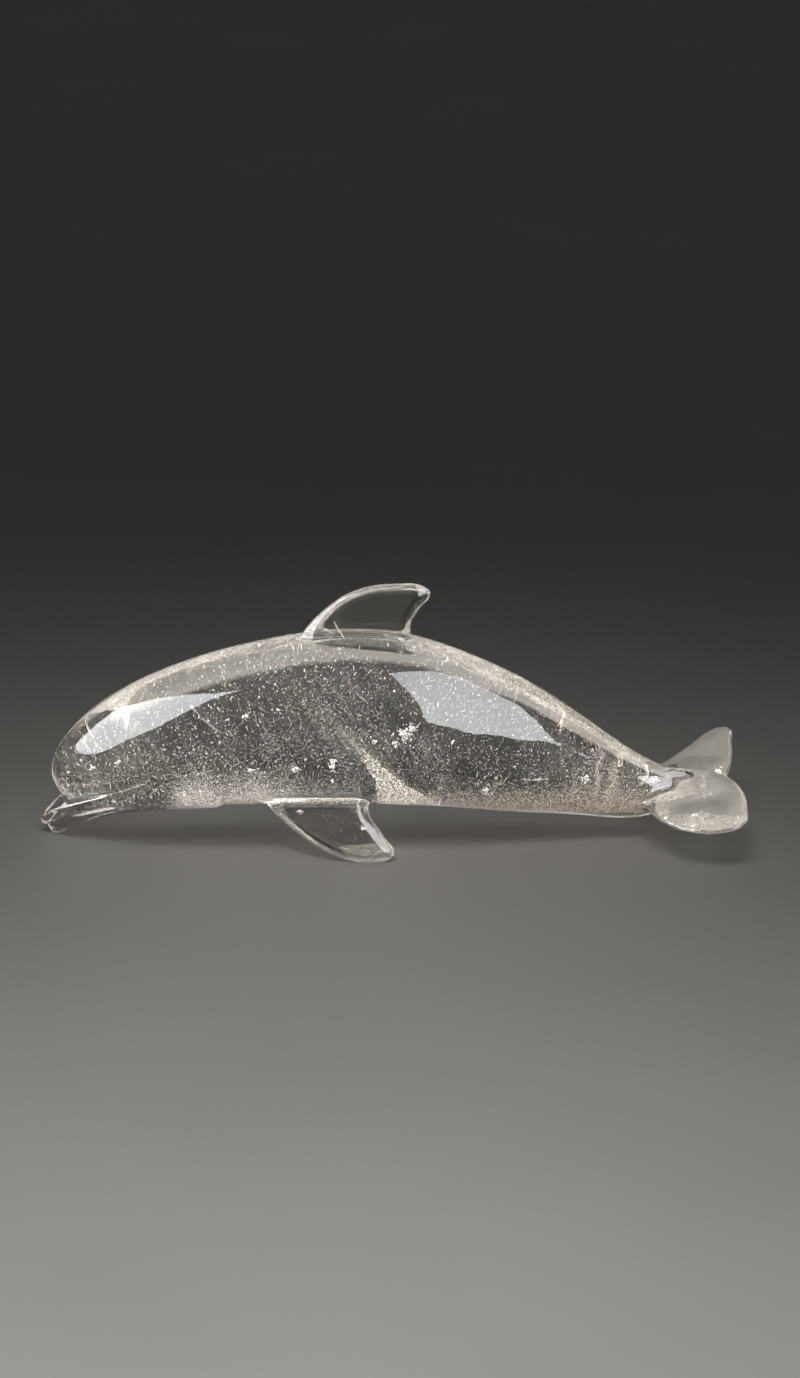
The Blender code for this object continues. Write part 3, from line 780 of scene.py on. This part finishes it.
        for k in (WHITE, WARM_WHITE, MIRROR):
            m = kind == k
            shards.add(p[m], rng.uniform(0.3, 0.9, m.sum()), k, stretch=rng.uniform(1.0, 2.2, m.sum()), flat=0.3, rng=rng)

    # --- speckled bed along the belly towards the tail: pale, rusty and dark grains
    count = int(17000 * share)
    at = np.stack([rng.uniform(418, 648, count), 813.0 - np.abs(rng.normal(0.0, 12.0, count))], 1)
    at = at[at[:, 1] > 804.0 - (at[:, 0] - 418.0) * 1.1]
    p = under_surface(at[:, 0], at[:, 1], rng.uniform(0.6, 8.0, len(at)))
    kind = rng.choice([CLEAR_GREY, WARM_WHITE, AMBER, WHITE, UMBER], len(p), p=[0.30, 0.22, 0.17, 0.06, 0.25])
    for k in (CLEAR_GREY, WARM_WHITE, AMBER, WHITE, UMBER):
        m = kind == k
        sparks.add(p[m], rng.uniform(0.13, 0.31, m.sum()), k, stretch=1.4, flat=0.7, rng=rng)

    kinds = grain_materials()
    return (haze.build("cloudy_haze", kinds) + sparks.build("fine_sparks_and_painted_shade", kinds)
            + veils_cracks_and_painted_highlights.build("veil_needles_and_painted_highlights", kinds) + shards.build("snowy_flecks", kinds)), belly_milk_and_painted_glow.build("milky_belly_and_painted_glow", kinds), wedge.build("painted_light_wedge", kinds)


# =============================================================================== materials
def new_material(name):
    material = bpy.data.materials.new(name)
    material.use_nodes = True
    return material, material.node_tree.nodes, material.node_tree.links, material.node_tree.nodes["Principled BSDF"]


def uneven(nodes, links, scale, lo, hi, detail=3.0):
    """A value that wanders between lo and hi over the surface."""
    where, noise, reach = (nodes.new("ShaderNode" + kind) for kind in ("TexCoord", "TexNoise", "MapRange"))
    noise.inputs["Scale"].default_value = scale
    noise.inputs["Detail"].default_value = detail
    reach.inputs["From Min"].default_value, reach.inputs["From Max"].default_value = 0.3, 0.7
    reach.inputs["To Min"].default_value, reach.inputs["To Max"].default_value = lo, hi
    links.new(where.outputs["Object"], noise.inputs["Vector"])
    links.new(noise.outputs["Fac"], reach.inputs["Value"])
    return reach.outputs["Result"]


def quartz_material():
    """Clear stone with a hand polish: a trace of haze that comes and goes, and a surface that is not quite true."""
    material, nodes, links, shader = new_material("rock_crystal_polished")
    shader.inputs["Base Color"].default_value = (0.88, 0.872, 0.855, 1.0)
    shader.inputs["IOR"].default_value = 1.544
    shader.inputs["Transmission Weight"].default_value = 1.0
    links.new(uneven(nodes, links, 60.0, 0.0, 0.022), shader.inputs["Roughness"])
    bump = nodes.new("ShaderNodeBump")
    bump.inputs["Strength"].default_value = 0.03
    bump.inputs["Distance"].default_value = 0.0004
    links.new(uneven(nodes, links, 240.0, 0.0, 1.0, 2.0), bump.inputs["Height"])
    links.new(bump.outputs["Normal"], shader.inputs["Normal"])
    return material


def grain_materials():
    out = []
    for name, color, rough, metal in (
            ("veil_grey", (0.46, 0.45, 0.425), 0.6, 0.0), ("snow_white", (0.82, 0.81, 0.79), 0.45, 0.0),
            ("warm_white", (0.62, 0.57, 0.51), 0.5, 0.0), ("amber_stain", (0.42, 0.25, 0.12), 0.5, 0.0),
            ("crack_mirror", (0.85, 0.87, 0.9), 0.12, 1.0), ("umber_stain_and_painted_shade", (0.075, 0.058, 0.045), 0.6, 0.0)):
        material, nodes, links, shader = new_material(name)
        shader.inputs["Base Color"].default_value = (*color, 1.0)
        shader.inputs["Roughness"].default_value = rough
        shader.inputs["Metallic"].default_value = metal
        out.append(material)
    return out


def floor_material():
    material, nodes, links, shader = new_material("pale_floor")
    tone = nodes.new("ShaderNodeCombineColor")
    for channel, share in zip(("Red", "Green", "Blue"), (1.0, 0.985, 0.95)):
        scaled = nodes.new("ShaderNodeMath")
        scaled.operation = "MULTIPLY"
        scaled.inputs[1].default_value = share
        links.new(uneven(nodes, links, 9.0, 0.60, 0.64, 6.0), scaled.inputs[0])
        links.new(scaled.outputs[0], tone.inputs[channel])
    links.new(tone.outputs["Color"], shader.inputs["Base Color"])
    links.new(uneven(nodes, links, 25.0, 0.5, 0.62), shader.inputs["Roughness"])
    return material


# =============================================================================== build
crystal = make_crystal()
crystal.data.materials.append(quartz_material())
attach(crystal, "root")
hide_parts("crystal_dolphin")
print("crystal faces", len(crystal.data.polygons), "verts", len(crystal.data.vertices))
inclusions, milky_belly_and_painted_glow, painted_light_wedge = make_inclusions()

# --- floor
bpy.ops.mesh.primitive_plane_add(size=8.0, location=(0.0, 0.0, -0.0001))
floor = bpy.context.object
floor.name = "floor"
floor.data.materials.append(floor_material())

# --- camera
camera_data = bpy.data.cameras.new("camera")
camera_data.sensor_fit = "HORIZONTAL"
camera_data.sensor_width = 36.0
camera_data.lens = 36.0 * PX / 800.0
camera_data.clip_start = 0.01
camera_data.clip_end = 50.0
camera = bpy.data.objects.new("camera", camera_data)
bpy.context.scene.collection.objects.link(camera)
side = aim.cross(up).normalized()
top = side.cross(aim)
camera.matrix_world = Matrix.Translation(TARGET - forward * DISTANCE) @ Matrix((side, top, -aim)).transposed().to_4x4()
bpy.context.scene.camera = camera


# --- light. Each lamp lights one thing: the stone's skin mirrors and bends the panels round it, the grains sealed in
# it are lit straight through it, and the floor has a lamp of its own, so that it stays quiet.
def gathered(name, *pieces):
    out = bpy.data.collections.new(name)
    for piece in pieces:
        out.objects.link(piece)
    return out


skin, ground = gathered("skin", crystal), gathered("ground", floor)
grains = gathered("grains", *inclusions, *milky_belly_and_painted_glow, *painted_light_wedge)
# the belly grains partly paint a glow of focused light and the wedge grains paint a patch of bent light; each set has a
# front lamp of its own
painted_glow_belly_grains, painted_light_wedge_grains = gathered("painted_glow_belly_grains", *milky_belly_and_painted_glow), gathered("painted_light_wedge_grains", *painted_light_wedge)
clear = gathered("clear", crystal)
clear.collection_objects[0].light_linking.link_state = "EXCLUDE"


def panel(name, matrix, size, radiance, color, lights, profile=None, cuts=(), reflect=True, through=True, scattered=None):
    """A soft panel, as bright as radiance says whatever its size. profile is (axis, from, to, stops): how its
    brightness runs along one axis of the room, in metres, as (share of the way, brightness) stops. cuts are straight
    flags across it, each (u, v, c): the panel is dark where u and v, in its own plane, reach past c. With scattered
    given, the panel is seen only by light that has met a matt surface (True) or has not (False)."""
    data = bpy.data.lights.new(name, "AREA")
    data.shape = "RECTANGLE"
    data.size, data.size_y = size
    data.energy = radiance * math.pi * size[0] * size[1]
    data.color = color
    lamp = bpy.data.objects.new(name, data)
    bpy.context.scene.collection.objects.link(lamp)
    lamp.matrix_world = matrix
    lamp.visible_glossy, lamp.visible_transmission = reflect, through
    lamp.light_linking.receiver_collection = lights
    if scattered is None and profile is None and not cuts:
        return lamp
    data.use_nodes = True
    nodes, links = data.node_tree.nodes, data.node_tree.links
    place = nodes.new("ShaderNodeNewGeometry").outputs["Position"]
    factors = []
    if scattered is not None:
        path, gate = nodes.new("ShaderNodeLightPath"), nodes.new("ShaderNodeMath")
        gate.operation = "GREATER_THAN" if scattered else "LESS_THAN"
        gate.inputs[1].default_value = 0.5
        links.new(path.outputs["Diffuse Depth"], gate.inputs[0])
        factors.append(gate.outputs[0])
    for u, v, c in cuts:
        out = matrix.to_3x3() @ Vector((u, v, 0.0)).normalized()
        dot, gate = nodes.new("ShaderNodeVectorMath"), nodes.new("ShaderNodeMath")
        dot.operation, gate.operation = "DOT_PRODUCT", "LESS_THAN"
        dot.inputs[1].default_value = out
        gate.inputs[1].default_value = c + out.dot(matrix.translation)
        links.new(place, dot.inputs[0])
        links.new(dot.outputs["Value"], gate.inputs[0])
        factors.append(gate.outputs[0])
    if profile:
        axis, start, end, stops = profile
        split, along = nodes.new("ShaderNodeSeparateXYZ"), nodes.new("ShaderNodeMapRange")
        along.inputs["From Min"].default_value, along.inputs["From Max"].default_value = start, end
        ramp = nodes.new("ShaderNodeValToRGB")
        while len(ramp.color_ramp.elements) < len(stops):
            ramp.color_ramp.elements.new(0.5)
        for element, (at, value) in zip(ramp.color_ramp.elements, stops):
            element.position, element.color = at, (value, value, value, 1.0)
        links.new(place, split.inputs["Vector"])
        links.new(split.outputs[axis], along.inputs["Value"])
        links.new(along.outputs["Result"], ramp.inputs["Fac"])
        factors.append(ramp.outputs["Color"])
    whole = factors[0]
    for factor in factors[1:]:
        both = nodes.new("ShaderNodeMath")
        both.operation = "MULTIPLY"
        links.new(whole, both.inputs[0])
        links.new(factor, both.inputs[1])
        whole = both.outputs[0]
    links.new(whole, nodes["Emission"].inputs["Strength"])
    return lamp


def facing(start, azimuth, elevation, roll, distance=0.9):
    """Where a panel stands that faces start from an azimuth (0 is the camera's side, positive to the right), an
    elevation and a roll."""
    a, e, r = math.radians(azimuth), math.radians(elevation), math.radians(roll)
    n = Vector((math.sin(a) * math.cos(e), -math.cos(a) * math.cos(e), math.sin(e)))
    h = Vector((math.cos(a), math.sin(a), 0.0))
    v = n.cross(h)
    x, y = h * math.cos(r) + v * math.sin(r), v * math.cos(r) - h * math.sin(r)
    return Matrix.Translation(Vector(start) + distance * n) @ Matrix((x, y, n)).transposed().to_4x4()


def ceiling(y0, y1, z=1.0):
    return Matrix.Translation((0.3, (y0 + y1) / 2.0, z)), (3.2, y1 - y0)


def back_wall(z0, z1):
    turn = Matrix.Rotation(math.radians(-90.0), 4, "X")
    return Matrix.Translation((0.3, 1.8, (z0 + z1) / 2.0)) @ turn, (4.0, z1 - z0)


WARM, COOL, SOFT = (1.0, 0.93, 0.84), (0.99, 0.99, 1.0), (1.0, 0.96, 0.91)
left_box = facing((-0.07, 0.0, 0.03), -73.9, 33.1, 13.7) @ Matrix.Translation((-0.09, -0.06, 0.0)), (1.02, 0.98)
left_cuts = ((-0.457, -0.889, 0.269),)
right_box = facing((0.03, 0.0, 0.03), 40.5, 36.6, -23.0) @ Matrix.Translation((-0.01, 0.05, 0.0)), (0.64, 1.42)
right_cuts = ((-0.432, 0.902, 0.499), (-0.994, -0.109, 0.266), (0.757, -0.653, 0.43))
only_mirrored = dict(through=False, scattered=False)
only_through = dict(reflect=False, scattered=False)
panel("softbox_left", *left_box, 10.5, COOL, skin, cuts=left_cuts, **only_mirrored)
panel("softbox_right", *right_box, 9.4, COOL, skin, ("Z", 0.2, 1.2, [(0.0, 1.0), (1.0, 0.72)]), right_cuts, **only_mirrored)
panel("overhead", *ceiling(-0.1, 1.8), 6.2, WARM, skin, ("Y", -0.1, 1.8, [(0.0, 0.0), (0.1, 1.0), (0.5, 0.5), (1.0, 0.2)]), **only_mirrored)
panel("backdrop", *back_wall(0.0, 1.0), 1.4, WARM, skin, ("Z", 0.0, 1.0, [(0.0, 0.25), (1.0, 1.0)]), **only_mirrored)
panel("overhead_through", *ceiling(-1.3, 1.8), 0.30, WARM, skin, **only_through)
turn = Matrix.Rotation(math.radians(-90.0), 4, "X")
panel("belly_light", Matrix.Translation((-0.2175, 1.8, 0.55)) @ turn, (0.265, 0.9), 3.3, WARM, skin,
      ("Z", 0.1, 1.0, [(0.0, 0.0), (0.22, 0.25), (0.55, 0.9), (1.0, 1.0)]), **only_through)
for name, (place, size), radiance, lit in (("grains_left", left_box, 9.0, grains), ("grains_right", right_box, 9.0, grains),
                                           ("grains_top", ceiling(0.0, 1.8), 1.9, grains), ("grains_back", back_wall(0.0, 1.0), 2.4, grains),
                                           ("belly_front", (facing((-0.03, 0.0, 0.02), -6.0, 10.0, 0.0), (0.8, 0.4)), 14.0, painted_glow_belly_grains),
                                           ("wedge_front", (facing((-0.03, 0.0, 0.02), -6.0, 10.0, 0.0), (0.8, 0.4)), 30.0, painted_light_wedge_grains)):
    panel(name, place, size, radiance, SOFT, lit).light_linking.blocker_collection = clear
key = Matrix.Translation((-0.05, -0.35, 0.6)), (0.46, 0.36)
floor_key = panel("floor_key", *key, 1.05, (1.0, 0.985, 0.96), ground)
floor_glow = panel("floor_glow", *key, 1.05, (1.0, 0.985, 0.96), skin, reflect=False, scattered=True)
floor_key.data.spread = floor_glow.data.spread = math.radians(80.0)

world = bpy.data.worlds.new("studio")
world.use_nodes = True
world.node_tree.nodes["Background"].inputs["Color"].default_value = (0.5, 0.49, 0.47, 1.0)
world.node_tree.nodes["Background"].inputs["Strength"].default_value = 0.07
bpy.context.scene.world = world
bpy.context.scene.view_settings.view_transform = "Standard"
bpy.context.scene.cycles.max_bounces = 24
bpy.context.scene.cycles.glossy_bounces = 16
bpy.context.scene.cycles.transmission_bounces = 16
